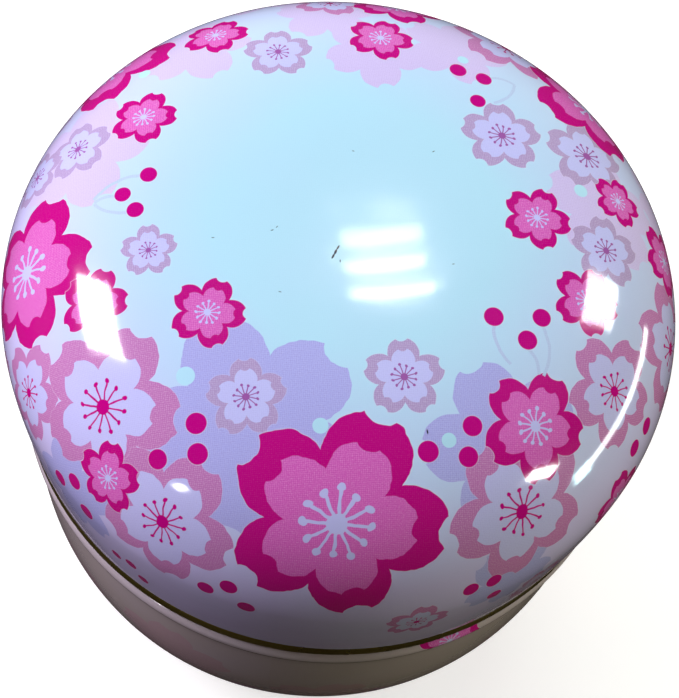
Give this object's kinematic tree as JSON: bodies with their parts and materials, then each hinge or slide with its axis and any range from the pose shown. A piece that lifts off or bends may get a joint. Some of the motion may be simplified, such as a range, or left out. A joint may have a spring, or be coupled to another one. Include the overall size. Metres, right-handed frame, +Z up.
{
  "type": "tea caddy",
  "caption": "Round drawn-tinplate tea caddy with a domed slip-on lid, gold-lacquered mouth ring and knobbed inner lid, printed all over with blossoms.",
  "frame": {"origin": "centre of the foot ring, on the surface that the caddy stands on", "axes": "+Z up along the caddy's axis, through the crown of the lid; +X and +Y are level, and the front of the print faces -Y"},
  "size_m": [0.093, 0.093, 0.0827],
  "materials": {
    "printed_tinplate": "gloss varnish over print",
    "gold_lacquer": "gloss gold lacquer on tinplate",
    "knob_plastic": "gloss",
    "bright_metal": "bright"
  },
  "bodies": {
    "caddy": {"body_shell": "printed_tinplate", "mouth_ring": "gold_lacquer"},
    "inner_lid": {"inner_lid_plate": "gold_lacquer", "inner_lid_knob": "knob_plastic", "knob_rivet": "bright_metal", "rivet_washer": "bright_metal"},
    "lid": {"lid_shell": "printed_tinplate"}
  },
  "joints": [
    {"name": "inner_lid_lift", "type": "slide", "parent": "caddy", "child": "inner_lid", "axis": [0, 0, 1], "range_m": [0, 0.045]},
    {"name": "lid_lift", "type": "slide", "parent": "inner_lid", "child": "lid", "axis": [0, 0, 1], "range_m": [0, 0.06]}
  ]
}
